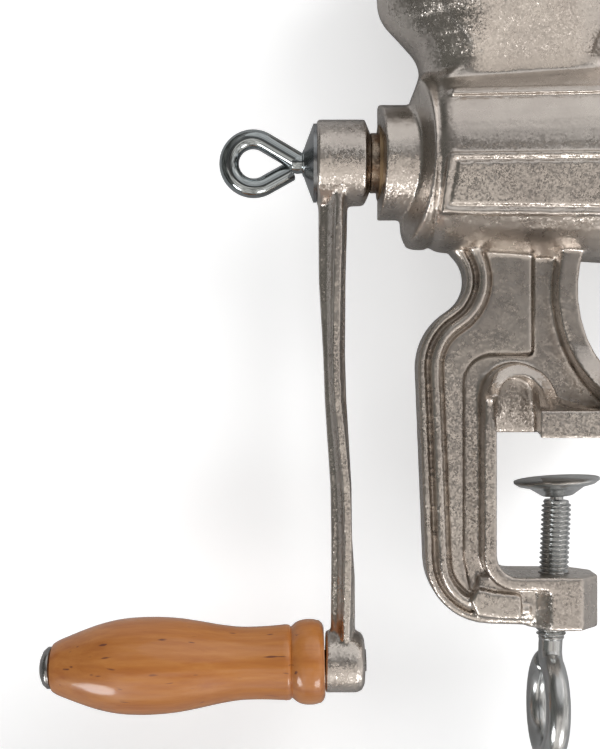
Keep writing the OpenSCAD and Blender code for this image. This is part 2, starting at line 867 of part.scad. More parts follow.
arm_faces = concat(
    [for (k = [0 : arm_n - 1]) [arm_n * (arm_last + 1), k, (k + 1) % arm_n]],
    [for (i = [0 : arm_last - 1], k = [0 : arm_n - 1])
        each arm_quad(arm_n * i + k, arm_n * i + (k + 1) % arm_n,
                      arm_n * (i + 1) + k, arm_n * (i + 1) + (k + 1) % arm_n)],
    [for (k = [0 : arm_n - 1])
        [arm_n * (arm_last + 1) + 1, arm_n * arm_last + (k + 1) % arm_n, arm_n * arm_last + k]]);

// Crank: hub, bent arm and grip boss
module crank_arm() {
    color(tin)
        difference() {
            union() {
                on_axis()
                    rotate_extrude()
                        polygon([[0, hub_rear_x], [hub_r - 0.8, hub_rear_x], [hub_r, hub_rear_x + 0.8],
                                 [hub_r, hub_front_x - 2], [hub_r - hub_bevel, hub_front_x], [0, hub_front_x]]);
                polyhedron(concat(arm_points, arm_middles), arm_faces);
                translate([grip_face_x, 0, grip_z])
                    rotate([0, 90, 0])
                        rotate_extrude()
                            polygon([[0, 0], [grip_boss_r, 0], [grip_boss_r, grip_boss_len - 3],
                                     [grip_boss_r - 0.9, grip_boss_len - 1], [grip_boss_r - 3, grip_boss_len],
                                     [0, grip_boss_len]]);
            }
            translate([hub_rear_x - 1, -square_half - slip_gap, axis_z - square_half - slip_gap])
                cube([hub_len + 2, 2 * (square_half + slip_gap), 2 * (square_half + slip_gap)]);
            on_grip()
                translate([0, 0, -grip_boss_len - 2])
                    cylinder(r = spindle_r + run_gap, h = grip_boss_len + 4);
        }
}

// Hollow conical washer between the hub and the bolt's shoulder
module cone_washer() {
    wall = 1.6;
    color(steel)
        on_axis()
            rotate_extrude()
                polygon([[thread_m_r + slip_gap, neck_x], [thread_m_r + 0.9, neck_x], [cone_r, cone_x - 0.8],
                         [cone_r, cone_x + 0.4], [cone_r - wall, cone_x + 0.4],
                         [thread_m_r + slip_gap, neck_x + wall]]);
}

// Eye bolt: the rod slopes up to a round loop and comes back below itself, where it is cut off
loop_away = 18.6;
return_len = 6.8;
module crank_bolt() {
    rod_r = bolt_rod_d / 2;
    tangent_a = acos(bolt_loop_r / loop_away);
    low_a = -tangent_a;
    slope_len = loop_away * sin(tangent_a);
    color(steel)
        union() {
            on_axis(neck_x)
                cylinder(r = thread_m_r, h = bolt_depth + cone_h);
            on_axis(neck_x - 1.2)
                cylinder(r = thread_m_r + 1, h = 1.2);
            translate([neck_x - 1.2, 0, axis_z])
                sphere(rod_r + 0.3);
            translate([neck_x - 1.2 - loop_away, 0, axis_z])
                rotate([90, 0, 0]) {
                    rotate([0, 0, tangent_a - 1])
                        rotate_extrude(angle = 362 - 2 * tangent_a)
                            translate([bolt_loop_r, 0])
                                circle(rod_r, $fn = 32);
                    rotate([0, 0, tangent_a])
                        translate([bolt_loop_r, 0.3, 0])
                            rotate([90, 0, 0])
                                cylinder(r = rod_r - 0.1, h = slope_len);
                    rotate([0, 0, low_a])
                        translate([bolt_loop_r, -0.3, 0])
                            rotate([-90, 0, 0])
                                cylinder(r = rod_r - 0.1, h = return_len);
                }
        }
}

// Places what turns on the grip's own axis, with Z pointing away from the crank
module on_grip() {
    translate([grip_face_x, 0, grip_z])
        rotate([0, -90 - grip_tilt, 0])
            children();
}

grip_gap = 0.5;
module grip() {
    color(wood)
        on_grip()
            difference() {
                rotate_extrude()
                    polygon(concat(
                        [[0, grip_gap], [12, grip_gap]],
                        arc([grip_r - 8, grip_gap + 6.4], 5.4, -70, 60, 8),
                        arc([12.6 + 2, grip_gap + 13.4], 2, 240, 150, 3),
                        grip_curve(grip_gap + 15.5, grip_len),
                        [[0, grip_len]]));
                translate([0, 0, -1])
                    cylinder(r = spindle_r + run_gap, h = grip_len + 2);
            }
}

// Swell of the grip between the bead and its far end: a waist, a belly and a rounded end
grip_shoulder_r = 13.8;
grip_waist_r = 13;
grip_end_r = 10;
function smooth(t) = t * t * (3 - 2 * t);
function grip_radius(t) =
    t < 0.18 ? grip_shoulder_r - (grip_shoulder_r - grip_waist_r) * smooth(t / 0.18) :
    t < 0.60 ? grip_waist_r + (grip_r - grip_waist_r) * smooth((t - 0.18) / 0.42) :
    grip_r - (grip_r - grip_end_r) * pow((t - 0.60) / 0.40, 2.3);
function grip_curve(s0, s1) = [for (i = [0 : 20]) [grip_radius(i / 20), s0 + (s1 - s0) * i / 20]];

head_h = 4;
module grip_spindle() {
    head_r = 7.6;
    tail = 0.6;
    color(steel)
        on_grip()
            union() {
                translate([0, 0, -grip_boss_len - tail])
                    cylinder(r = spindle_r, h = grip_len + grip_boss_len + tail + 1);
                translate([0, 0, grip_len + grip_gap])
                    rotate_extrude()
                        polygon([[0, 0], [head_r, 0], [head_r, 1.6], [head_r - 1.2, 3], [head_r - 3.4, head_h],
                                 [0, head_h]]);
            }
}

module clamp_pad() {
    color(zinc)
        on_screw()
            translate([0, 0, ball_z])
                rotate([0, pad_tilt - screw_lean, 0])
                    difference() {
                        rotate_extrude()
                            polygon([[0, ball_drop], [pad_r, ball_drop], [pad_r, ball_drop - 0.8],
                                     [pad_r - 1.5, ball_drop - 1.9], [pad_r - 5.4, ball_drop - 2.9],
                                     [5.8, ball_drop - pad_h], [0, ball_drop - pad_h]]);
                        sphere(ball_r + run_gap);
                        translate([0, 0, -ball_r])
                            cylinder(r = ball_r - 0.4, h = ball_r);
                    }
}

module clamp_screw() {
    rod_r = loop_rod_d / 2;
    neck = 2.4;
    knuckle = 0.35;
    loop_open_a = 20;
    color(zinc)
        on_screw()
            union() {
                translate([0, 0, ball_z])
                    sphere(ball_r);
                translate([0, 0, thread_top_z - 1])
                    cylinder(r = neck, h = ball_z - thread_top_z + 1);
                translate([0, 0, thread_end_z])
                    cylinder(r = screw_r, h = thread_top_z - 0.8 - thread_end_z);
                translate([0, 0, thread_top_z - 0.8])
                    cylinder(r1 = screw_r, r2 = screw_r - 0.8, h = 0.8);
                translate([0, 0, loop_z + loop_r])
                    cylinder(r = rod_r, h = thread_end_z - loop_z - loop_r + 1);
                translate([0, 0, loop_z + loop_r])
                    sphere(rod_r + knuckle);
                translate([0, 0, loop_z])
                    rotate([0, -90, 0])
                        rotate([0, 0, loop_open_a])
                            rotate_extrude(angle = 355 - loop_open_a)
                                translate([loop_r, 0])
                                    circle(rod_r, $fn = 32);
            }
}

body_casting();
rear_bush();
thrust_washer();
auger();
drive_stud();
knife();
grinding_plate();
plate_pin();
ring_nut();
crank_arm();
cone_washer();
crank_bolt();
grip();
grip_spindle();
clamp_pad();
clamp_screw();
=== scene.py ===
"""Looks of the hand cranked meat grinder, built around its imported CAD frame. Metres throughout."""
import math

import bpy
import numpy as np
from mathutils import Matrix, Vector


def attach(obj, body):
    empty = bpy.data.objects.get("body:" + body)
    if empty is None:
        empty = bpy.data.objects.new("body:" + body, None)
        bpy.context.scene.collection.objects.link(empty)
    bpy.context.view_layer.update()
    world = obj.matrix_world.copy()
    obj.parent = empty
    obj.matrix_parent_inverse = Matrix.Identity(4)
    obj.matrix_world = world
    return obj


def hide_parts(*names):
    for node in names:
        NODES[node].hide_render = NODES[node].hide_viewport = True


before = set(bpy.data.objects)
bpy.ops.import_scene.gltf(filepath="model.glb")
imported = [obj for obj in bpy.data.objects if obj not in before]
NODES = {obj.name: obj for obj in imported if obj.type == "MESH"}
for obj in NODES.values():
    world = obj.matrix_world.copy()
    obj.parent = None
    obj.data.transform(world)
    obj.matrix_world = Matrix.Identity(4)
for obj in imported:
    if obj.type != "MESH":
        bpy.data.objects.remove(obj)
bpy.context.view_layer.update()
MM = 0.001

# Driving sizes, the same as the part's own
AXIS_Z = 99.5 * MM
MOUTH_X = 58.0 * MM
MOUTH_R = 41.0 * MM
THREAD_X = 42.0 * MM
NUT_PITCH = 4.0 * MM
NUT_BORE_R = 41.05 * MM
NUT_BORE_X = 44.0 * MM
NUT_SEAT_X = 62.0 * MM
NECK_Z = 132 * MM
SIDE_HALF = 22 * MM
SIDE_LEAN = math.radians(22)
HOPPER_X = -13 * MM
HOPPER_HALF = 12.5 * MM
WEB_HALF = 3.5 * MM
JOURNAL_X = -62 * MM
SCREW_R = 5.4 * MM
SCREW_PITCH = 1.75 * MM
SCREW_LEAN = math.radians(2.5)
SCREW_PIVOT = Vector((0, 0, -40 * MM))
BOLT_R = 4.0 * MM
BOLT_PITCH = 1.25 * MM
SPINDLE_BORE_R = 4.3 * MM

# Threads, whose grooves the scene alone draws
THREAD_DEPTH = 1.5 * MM
SCREW_THREAD_DEPTH = 1.0 * MM
BOLT_THREAD_DEPTH = 0.75 * MM
GROOVE_SLOPE = 2.6
GROOVE_FLAT = 0.25

# How near a cast piece's vertices lie to the face that a reshaping means
SKIN = 0.5 * MM
WEB_SKINS = 2
ROUND_SKINS = 1.6
SOFTEN_STEP = 0.7


# Meshes

def add_object(name, mesh):
    piece = bpy.data.objects.new(name, mesh)
    bpy.context.scene.collection.objects.link(piece)
    return piece


def mesh_object(name, verts, faces, smooth=True):
    mesh = bpy.data.meshes.new(name)
    mesh.from_pydata([tuple(v) for v in verts], [], faces)
    mesh.polygons.foreach_set("use_smooth", [smooth] * len(mesh.polygons))
    mesh.update()
    return add_object(name, mesh)


def evaluated_copy(piece):
    """Swaps a piece's mesh for the one its modifiers make."""
    bpy.context.view_layer.update()
    depsgraph = bpy.context.evaluated_depsgraph_get()
    mesh = bpy.data.meshes.new_from_object(piece.evaluated_get(depsgraph))
    piece.modifiers.clear()
    piece.data = mesh
    return piece


def cast_copy(cad, name, voxel, rounds):
    """A copy of a CAD node with even small quads and slightly rounded edges, as in a sand casting."""
    piece = add_object(name, NODES[cad].data.copy())
    remesh = piece.modifiers.new("remesh", "REMESH")
    remesh.mode = "VOXEL"
    remesh.voxel_size = voxel
    remesh.use_smooth_shade = True
    soften = piece.modifiers.new("soften", "SMOOTH")
    soften.factor = 0.5
    soften.iterations = rounds
    evaluated_copy(piece)
    piece.data.materials.clear()
    return piece


def plain_copy(cad, name, angle=30):
    """A copy of a CAD node with smooth shading between its true edges."""
    piece = add_object(name, NODES[cad].data.copy())
    piece.data.materials.clear()
    weld = piece.modifiers.new("weld", "WELD")
    weld.merge_threshold = 1e-6
    evaluated_copy(piece)
    piece.data.polygons.foreach_set("use_smooth", [True] * len(piece.data.polygons))
    piece.data.set_sharp_from_angle(angle=math.radians(angle))
    return piece


def points_of(piece):
    points = np.empty(len(piece.data.vertices) * 3)
    piece.data.vertices.foreach_get("co", points)
    return points.reshape(-1, 3)


def set_points(piece, points):
    piece.data.vertices.foreach_set("co", points.ravel())
    piece.data.update()


def soften_zone(piece, low, high, edge, rounds):
    """Smooths a dense mesh inside a box, given in mm, and fades out over its edge."""
    points = points_of(piece)
    low, high = np.array(low) * MM, np.array(high) * MM
    inside = np.clip(np.minimum(points - low, high - points) / (edge * MM) + 1, 0, 1).min(axis=1)
    ends = np.empty(len(piece.data.edges) * 2, dtype=np.int64)
    piece.data.edges.foreach_get("vertices", ends)
    first, second = ends.reshape(-1, 2).T
    near = (inside[first] > 0) | (inside[second] > 0)
    first, second = first[near], second[near]
    count = np.bincount(first, minlength=len(points)) + np.bincount(second, minlength=len(points))
    for _ in range(rounds):
        total = np.stack([np.bincount(first, points[second, k], len(points))
                          + np.bincount(second, points[first, k], len(points)) for k in range(3)], axis=1)
        mean = total / np.maximum(count, 1)[:, None]
        points += (mean - points) * (SOFTEN_STEP * inside * (count > 2))[:, None]
    set_points(piece, points)


# Hopper: rows in Z over which its round rear end is measured, and how its corners become ellipses
HOPPER_LOW = 127 * MM
HOPPER_ROW = 1.5 * MM
HOPPER_ROWS = 54
HOPPER_STRIP = 3 * MM
HOPPER_SPARE = 1 * MM
HOPPER_FADE = 6 * MM
HOPPER_POINTED = 0.5
HOPPER_POINTED_AT = 8 * MM


def round_hopper(piece):
    """Turns the hopper's cut corners into even ellipses between its round ends and its flat sides."""
    points = points_of(piece)
    z = points[:, 2]
    away = np.maximum(np.abs(points[:, 0] - HOPPER_X) - HOPPER_HALF, 0)
    reach = np.hypot(away, points[:, 1])
    row = np.clip(((z - HOPPER_LOW) / HOPPER_ROW).astype(int), 0, HOPPER_ROWS - 1)
    rear = (z > HOPPER_LOW) & (points[:, 0] < HOPPER_X - HOPPER_HALF)
    rear &= np.abs(points[:, 1]) < HOPPER_STRIP
    end_r = np.zeros(HOPPER_ROWS)
    np.maximum.at(end_r, row[rear], reach[rear])
    end_r = np.interp(z, HOPPER_LOW + (np.arange(HOPPER_ROWS) + 0.5) * HOPPER_ROW, end_r)
    side_r = SIDE_HALF + (z - NECK_Z) * math.tan(SIDE_LEAN)
    cut = ((side_r < end_r) & (away > 0) & (z > HOPPER_LOW)
           & (reach > HOPPER_SPARE) & (reach < end_r + HOPPER_SPARE))
    sine = np.abs(points[:, 1]) / np.maximum(reach, MM)
    cosine = away / np.maximum(reach, MM)
    old = np.minimum(end_r, side_r / np.maximum(sine, 1e-6))
    power = 2 - HOPPER_POINTED * np.clip((end_r - side_r) / HOPPER_POINTED_AT, 0, 1)
    new = ((cosine / end_r.clip(MM)) ** power + (sine / side_r.clip(MM)) ** power) ** (-1 / power)
    fade = np.clip((z - HOPPER_LOW) / HOPPER_FADE, 0, 1)
    factor = np.where(cut, 1 + (new / old - 1) * fade, 1)
    side = np.sign(points[:, 0] - HOPPER_X)
    points[:, 0] = np.where(cut, HOPPER_X + side * (HOPPER_HALF + away * factor), points[:, 0])
    points[:, 1] = np.where(cut, points[:, 1] * factor, points[:, 1])
    set_points(piece, points)


# Web inside the arch, from its rear to its front and from its foot to its top
WEB_X = (-24 * MM, -2 * MM)
WEB_Z = (-2 * MM, 12 * MM)
WEB_DRAFT = 0.13


def draft_web(piece):
    """Leans the faces of the web inside the arch inwards, downwards from its top."""
    points = points_of(piece)
    x, y, z = points.T
    on_face = np.clip(WEB_SKINS - np.abs(np.abs(y) - WEB_HALF) / SKIN, 0, 1)
    inside = (x > WEB_X[0]) & (x < WEB_X[1]) & (z > WEB_Z[0]) & (z < WEB_Z[1])
    points[:, 1] -= np.sign(y) * np.where(inside, on_face * (WEB_Z[1] - z) * WEB_DRAFT, 0)
    set_points(piece, points)


def groove_share(phase):
    """The share of a thread's depth at each part of one turn, 0 in the middle and 1 at both ends."""
    return np.clip(GROOVE_SLOPE * np.abs(phase - 0.5) - GROOVE_FLAT, 0, 1)


def cut_thread(piece, radius, start, stop, depth):
    """Cuts a right handed thread into a dense cylinder round the barrel's axis, in or out by depth."""
    points = points_of(piece)
    out = points[:, 1:] - (0, AXIS_Z)
    radii = np.hypot(out[:, 0], out[:, 1])
    turn = np.arctan2(out[:, 1], out[:, 0]) / (2 * math.pi)
    groove = groove_share(((points[:, 0] - start) / NUT_PITCH - turn) % 1)
    near = np.clip(ROUND_SKINS - np.abs(radii - radius) / SKIN, 0, 1)
    fade = np.clip(np.minimum(points[:, 0] - start, stop - points[:, 0]) / (0.5 * NUT_PITCH), 0, 1)
    points[:, 1:] += out * (near * fade * groove * depth / np.maximum(radii, MM))[:, None]
    set_points(piece, points)


# Materials

def new_material(name):
    material = bpy.data.materials.new(name)
    material.use_nodes = True
    tree = material.node_tree
    return material, tree, tree.nodes["Principled BSDF"]


def node(tree, kind, **values):
    """A new node with values for its inputs or its own properties."""
    made = tree.nodes.new(kind)
    for key, value in values.items():
        if key in made.inputs:
            made.inputs[key].default_value = value
        else:
            setattr(made, key, value)
    return made


def feed(tree, value, socket):
    """Links another node's output to a socket, or writes a constant there."""
    if isinstance(value, bpy.types.NodeSocket):
        tree.links.new(value, socket)
    elif socket.type == "RGBA":
        socket.default_value = (*value, 1)
    else:
        socket.default_value = value


def noise(tree, coords, scale, detail=3.0, roughness=0.55):
    made = node(tree, "ShaderNodeTexNoise", Scale=scale, Detail=detail, Roughness=roughness)
    tree.links.new(coords, made.inputs["Vector"])
    return made.outputs["Fac"]


def ramp(tree, value, stops):
    """A colour ramp through (place, colour) stops. A stop's colour may be one grey level."""
    made = tree.nodes.new("ShaderNodeValToRGB")
    elements = made.color_ramp.elements
    while len(elements) < len(stops):
        elements.new(0.5)
    for element, (place, colour) in zip(elements, stops):
        element.position = place
        element.color = (*colour, 1) if isinstance(colour, tuple) else (colour, colour, colour, 1)
    tree.links.new(value, made.inputs["Fac"])
    return made.outputs["Color"]


def map_range(tree, value, start, stop, low=0.0, high=1.0, kind="LINEAR"):
    """Turns a value that runs from start to stop into one that runs from low to high."""
    made = node(tree, "ShaderNodeMapRange", interpolation_type=kind)
    for name, number in (("From Min", start), ("From Max", stop), ("To Min", low), ("To Max", high)):
        made.inputs[name].default_value = number
    tree.links.new(value, made.inputs["Value"])
    return made.outputs[0]


def mixed(tree, factor, first, second, blend="MIX"):
    """The mix of two colours, each an output or a constant."""
    made = node(tree, "ShaderNodeMix", data_type="RGBA", blend_type=blend)
    feed(tree, factor, made.inputs[0])
    feed(tree, first, made.inputs[6])
    feed(tree, second, made.inputs[7])
    return made.outputs[2]


def bumped(tree, height, depth):
    made = node(tree, "ShaderNodeBump", Strength=1.0, Distance=depth)
    tree.links.new(height, made.inputs["Height"])
    return made.outputs["Normal"]


def node_output(tree, vector, part):
    split = tree.nodes.new("ShaderNodeSeparateXYZ")
    tree.links.new(vector, split.inputs[0])
    return split.outputs[part]


def object_coords(tree):
    return node(tree, "ShaderNodeTexCoord").outputs["Object"]


def stretched(tree, coords, scale, place=(0, 0, 0)):
    made = node(tree, "ShaderNodeMapping", Scale=scale, Location=place)
    tree.links.new(coords, made.inputs["Vector"])
    return made.outputs["Vector"]


def vector_math(tree, operation, first, second=None, scale=None):
    made = node(tree, "ShaderNodeVectorMath", operation=operation)
    tree.links.new(first, made.inputs[0])
    if second is not None:
        feed(tree, second, made.inputs[1])
    if scale is not None:
        feed(tree, scale, made.inputs["Scale"])
    return made.outputs[0]


# Tinned casting: colour patches, spread of the roughness, waves of the skin, grains of sand (cells to the
# metre), and where on the body the grain is weak (Z in mm, share of the tilt)
TIN_LOW = (0.57, 0.52, 0.48)
TIN_HIGH = (0.66, 0.61, 0.56)
TIN_PATCH_SCALE = 45
TIN_ROUGH = 0.27
TIN_ROUGH_LESS = 0.03
TIN_ROUGH_MORE = 0.05
TIN_ROUGH_SCALE = 160
WAVE_SCALE = 230
WAVE_DEPTH = 0.00022
TIN_GRAIN = 2600
COARSE_GRAIN = 0.62
TIN_TILT = 0.17
GRAIN_LOW_Z = -110 * MM
GRAIN_HIGH_Z = 215 * MM
GRAIN_UP = [
    (-72, 0.8), (-40, 1.1), (8, 1.2), (18, 0.8), (28, 0.30), (58, 0.26), (70, 0.3), (80, 1.0),
    (96, 1.1), (104, 0.25), (124, 0.25), (134, 1.1), (212, 1.1)]


def cast_metal(name, grain_up=None):
    """Tinned sand casting: each grain of sand left a small face with its own tilt, on shallow waves. The
    colour is patchy, and the tilt may vary with Z."""
    material, tree, shader = new_material(name)
    coords = object_coords(tree)
    patches = noise(tree, coords, TIN_PATCH_SCALE, 4)
    colour = ramp(tree, patches, [(0.35, TIN_LOW), (0.65, TIN_HIGH)])
    tree.links.new(colour, shader.inputs["Base Color"])
    shader.inputs["Metallic"].default_value = 1.0
    rough = ramp(tree, noise(tree, coords, TIN_ROUGH_SCALE),
                 [(0.3, TIN_ROUGH - TIN_ROUGH_LESS), (0.7, TIN_ROUGH + TIN_ROUGH_MORE)])
    tree.links.new(rough, shader.inputs["Roughness"])
    tilt = TIN_TILT
    if grain_up:
        rise = map_range(tree, node_output(tree, coords, "Z"), GRAIN_LOW_Z, GRAIN_HIGH_Z)
        tilt = ramp(tree, rise, [((z * MM - GRAIN_LOW_Z) / (GRAIN_HIGH_Z - GRAIN_LOW_Z), part * TIN_TILT)
                                 for z, part in grain_up])
    normal = bumped(tree, noise(tree, coords, WAVE_SCALE, 2), WAVE_DEPTH)
    for scale in (TIN_GRAIN, TIN_GRAIN * COARSE_GRAIN):
        cells = node(tree, "ShaderNodeTexVoronoi", Scale=scale)
        tree.links.new(coords, cells.inputs["Vector"])
        lean = vector_math(tree, "SUBTRACT", cells.outputs["Color"], (0.5, 0.5, 0.5))
        normal = vector_math(tree, "ADD", normal, vector_math(tree, "SCALE", lean, scale=tilt))
    tree.links.new(vector_math(tree, "NORMALIZE", normal), shader.inputs["Normal"])
    return material


def plain_metal(name, colour, rough, grain=400, depth=0.00002):
    material, tree, shader = new_material(name)
    shader.inputs["Base Color"].default_value = (*colour, 1)
    shader.inputs["Metallic"].default_value = 1.0
    shader.inputs["Roughness"].default_value = rough
    tree.links.new(bumped(tree, noise(tree, object_coords(tree), grain), depth), shader.inputs["Normal"])
    return material


OIL_SCALE = 120
OIL_DARK = (0.16, 0.09, 0.05)
OIL_PALE = (0.36, 0.30, 0.24)
OIL_EDGE = 1 * MM


def oiled_journal(name):
    """The worm's casting, whose rear journal is turned and brown with old oil."""
    material = cast_metal(name)
    tree = material.node_tree
    colour = tree.nodes["Principled BSDF"].inputs["Base Color"]
    coords = object_coords(tree)
    oil = ramp(tree, noise(tree, coords, OIL_SCALE), [(0.4, OIL_DARK), (0.62, OIL_PALE)])
    turned = map_range(tree, node_output(tree, coords, "X"), JOURNAL_X + OIL_EDGE, JOURNAL_X)
    tree.links.new(mixed(tree, turned, colour.links[0].from_socket, oil), colour)
    return material


# Wood: grain along X, short dark pores where a noise is over their level, and a clear coat
WOOD_STRETCH = (0.10, 1, 1)
WOOD_GRAIN_SCALE = 300
WOOD_COLOURS = [(0.30, (0.40, 0.122, 0.019)), (0.55, (0.49, 0.175, 0.032)), (0.8, (0.57, 0.23, 0.052))]
PORE_STRETCH = (0.16, 1, 1)
PORE_PLACE = (0.013, 0.021, 0.008)
PORE_SCALE = 620
PORE_LEVEL = (0.70, 0.77)
PORE_COLOUR = (0.17, 0.05, 0.02)
WOOD_ROUGH = 0.45
COAT_ROUGH = 0.13
COAT_WAVES = 0.00006


def varnished_wood(name):
    """Orange turned hardwood under varnish."""
    material, tree, shader = new_material(name)
    coords = object_coords(tree)
    grain = noise(tree, stretched(tree, coords, WOOD_STRETCH), WOOD_GRAIN_SCALE, 5, 0.6)
    specks = noise(tree, stretched(tree, coords, PORE_STRETCH, PORE_PLACE), PORE_SCALE, 1, 0.5)
    pore = map_range(tree, specks, *PORE_LEVEL)
    colour = mixed(tree, pore, ramp(tree, grain, WOOD_COLOURS), PORE_COLOUR)
    tree.links.new(colour, shader.inputs["Base Color"])
    shader.inputs["Roughness"].default_value = WOOD_ROUGH
    shader.inputs["Coat Weight"].default_value = 1.0
    shader.inputs["Coat Roughness"].default_value = COAT_ROUGH
    tree.links.new(bumped(tree, grain, COAT_WAVES), shader.inputs["Coat Normal"])
    return material


TIN = cast_metal("tinned_casting")
TIN_BODY = cast_metal("tinned_body", GRAIN_UP)
TIN_WORM = oiled_journal("tinned_worm")
STEEL = plain_metal("bright_steel", (0.60, 0.60, 0.60), 0.26)
OLD_STEEL = plain_metal("old_steel", (0.34, 0.33, 0.32), 0.25)
PLATED = plain_metal("plated_bolt", (0.36, 0.39, 0.40), 0.06, 150, 0.00003)
DULL_PLATED = plain_metal("dull_plated", (0.27, 0.28, 0.29), 0.22, 150, 0.00003)
ZINC = plain_metal("grey_steel", (0.54, 0.55, 0.55), 0.24)
BRONZE = plain_metal("bronze", (0.28, 0.20, 0.12), 0.42)
WOOD = varnished_wood("varnished_wood")


def dress(piece, material, body, cad):
    """Gives a piece its material and body, and lets it stand for a CAD node."""
    piece.data.materials.clear()
    piece.data.materials.append(material)
    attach(piece, body)
    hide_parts(cad)
    return piece


# Shapes of turned and bent pieces

def in_metres(line):
    return [(first * MM, second * MM) for first, second in line]


def ring_faces(rows, sides, bored=False):
    """Quads between rows of points, closed by flat ends, or in a bore from the last row to the first."""
    faces = []
    for i in range(rows - 1):
        for k in range(sides):
            j = (k + 1) % sides
            faces.append((i * sides + k, i * sides + j, (i + 1) * sides + j, (i + 1) * sides + k))
    last = (rows - 1) * sides
    if bored:
        return faces + [(last + k, last + (k + 1) % sides, (k + 1) % sides, k) for k in range(sides)]
    return faces + [tuple(range(sides))[::-1], tuple(last + k for k in range(sides))]


def lathe(name, outline, place, axis, sides=96, bored=False):
    """Turns an outline of (radius, run) points round an axis."""
    turn = Vector((0, 0, 1)).rotation_difference(Vector(axis)).to_matrix()
    verts = []
    for radius, run in outline:
        for k in range(sides):
            a = 2 * math.pi * k / sides
            verts.append(turn @ Vector((radius * math.cos(a), radius * math.sin(a), run)) + Vector(place))
    return mesh_object(name, verts, ring_faces(len(outline), sides, bored))


def thread(name, place, axis, crest, depth, pitch, run, sides=72, steps=10):
    """A right handed screw thread of that length, which fades out at both ends."""
    rows = int(run / pitch * steps)
    turn = Vector((0, 0, 1)).rotation_difference(Vector(axis)).to_matrix()
    verts = []
    for i in range(rows + 1):
        along = run * i / rows
        fade = min(1, along / pitch, (run - along) / pitch)
        for k in range(sides):
            groove = float(groove_share((along / pitch - k / sides) % 1))
            radius = crest - depth * (1 - fade * (1 - groove))
            a = 2 * math.pi * k / sides
            verts.append(turn @ Vector((radius * math.cos(a), radius * math.sin(a), along)) + Vector(place))
    return mesh_object(name, verts, ring_faces(rows + 1, sides))


ROD_BEVEL = 0.12


def tube(name, path, radius, sides=40):
    """A round rod swept along a path, closed by flat ends with a small bevel."""
    points = [Vector(p) for p in path]
    aims = [(points[min(i + 1, len(points) - 1)] - points[max(i - 1, 0)]).normalized()
            for i in range(len(points))]
    side = aims[0].orthogonal().normalized()
    rings = []
    for i, (point, aim) in enumerate(zip(points, aims)):
        if i:
            side = aims[i - 1].rotation_difference(aim) @ side
        rings.append((point, aim, side, radius))
    bevel = ROD_BEVEL * radius
    first, last = rings[0], rings[-1]
    rings = ([(first[0] - first[1] * bevel, first[1], first[2], radius - bevel)] + rings
             + [(last[0] + last[1] * bevel, last[1], last[2], radius - bevel)])
    verts = []
    for point, aim, across, r in rings:
        other = aim.cross(across)
        for k in range(sides):
            a = 2 * math.pi * k / sides
            verts.append(point + r * (math.cos(a) * across + math.sin(a) * other))
    return mesh_object(name, verts, ring_faces(len(rings), sides))


def join(name, pieces):
    """One object from several, whose closed meshes may run into each other."""
    verts, faces, smooth = [], [], []
    for piece in pieces:
        start = len(verts)
        verts += [piece.matrix_world @ v.co for v in piece.data.vertices]
        faces += [tuple(start + v for v in face.vertices) for face in piece.data.polygons]
        smooth += [face.use_smooth for face in piece.data.polygons]
        bpy.data.objects.remove(piece)
    joined = mesh_object(name, verts, faces)
    joined.data.polygons.foreach_set("use_smooth", smooth)
    joined.data.set_sharp_from_angle(angle=math.radians(40))
    return joined


# Cast pieces. Each zone in mm has its low and high corner, its soft edge and its rounds of smoothing
BODY_VOXEL = 0.45 * MM
CRANK_VOXEL = 0.4 * MM
WORM_VOXEL = 0.6 * MM
NUT_VOXEL = 0.6 * MM
BODY_ZONES = [
    ((-60, -60, 125), (40, 60, 131), 4, 16),        # foot of the hopper
    ((-60, -60, 133), (40, 60, 196), 3, 8),         # hopper
    ((-60, -60, 70), (-42.5, 60, 126), 3, 10),      # collar
    ((-60, -60, 70), (60, 60, 126), 3, 2),          # barrel
    ((-27, -30, 7), (-15, 30, 18), 4, 60),          # rear of the arch
    ((-12, -30, 24), (-5, 30, 70), 2, 14),          # edge of the slab
    ((-60, -30, -80), (20, 30, 70), 3, 8)]          # leg and lower arm
CRANK_ZONES = [
    ((-95, -20, 78), (-60, 20, 86), 3, 24),         # arm's root at the hub
    ((-95, -20, -80), (-60, 20, -70), 3, 12)]       # arm's root at the grip boss

casting = cast_copy("body_casting", "cast_body", BODY_VOXEL, 3)
round_hopper(casting)
draft_web(casting)
for zone in BODY_ZONES:
    soften_zone(casting, *zone)
cut_thread(casting, MOUTH_R, THREAD_X, MOUTH_X, -THREAD_DEPTH)
dress(casting, TIN_BODY, "casting", "body_casting")

crank = cast_copy("crank_arm", "crank_casting", CRANK_VOXEL, 10)
for zone in CRANK_ZONES:
    soften_zone(crank, *zone)
dress(crank, TIN, "rotor", "crank_arm")

dress(cast_copy("auger", "worm", WORM_VOXEL, 3), TIN_WORM, "rotor", "auger")

nut = cast_copy("ring_nut", "ring_nut_casting", NUT_VOXEL, 3)
cut_thread(nut, NUT_BORE_R, NUT_BORE_X, NUT_SEAT_X, THREAD_DEPTH)
dress(nut, TIN, "nut", "ring_nut")

# Eye bolt: one bent rod from the neck round the loop and back behind it, with its thread in the worm
NECK_X = -93.1 * MM
NECK_LEN = 1.2 * MM
LOOP_R = 8.9 * MM
LOOP_AWAY = 17.5 * MM
BOLT_ROD_R = 3.65 * MM
SLOPE_STEPS = 8
LOOP_STEPS = 48
LOOP_BEHIND = 2.6 * MM
RETURN_STEPS = 10
RETURN_STEP = 1.05 * MM
RETURN_BEHIND = 0.15 * MM
SHOULDER = [(2, -4.5), (3.5, -4.2), (3.9, -2.4), (3.7, -0.6), (4.9, -0.2), (4.9, 0.1), (4.0, 0.3), (4.0, 5)]
SHANK_START = 4 * MM
SHANK_LEN = 17.4 * MM

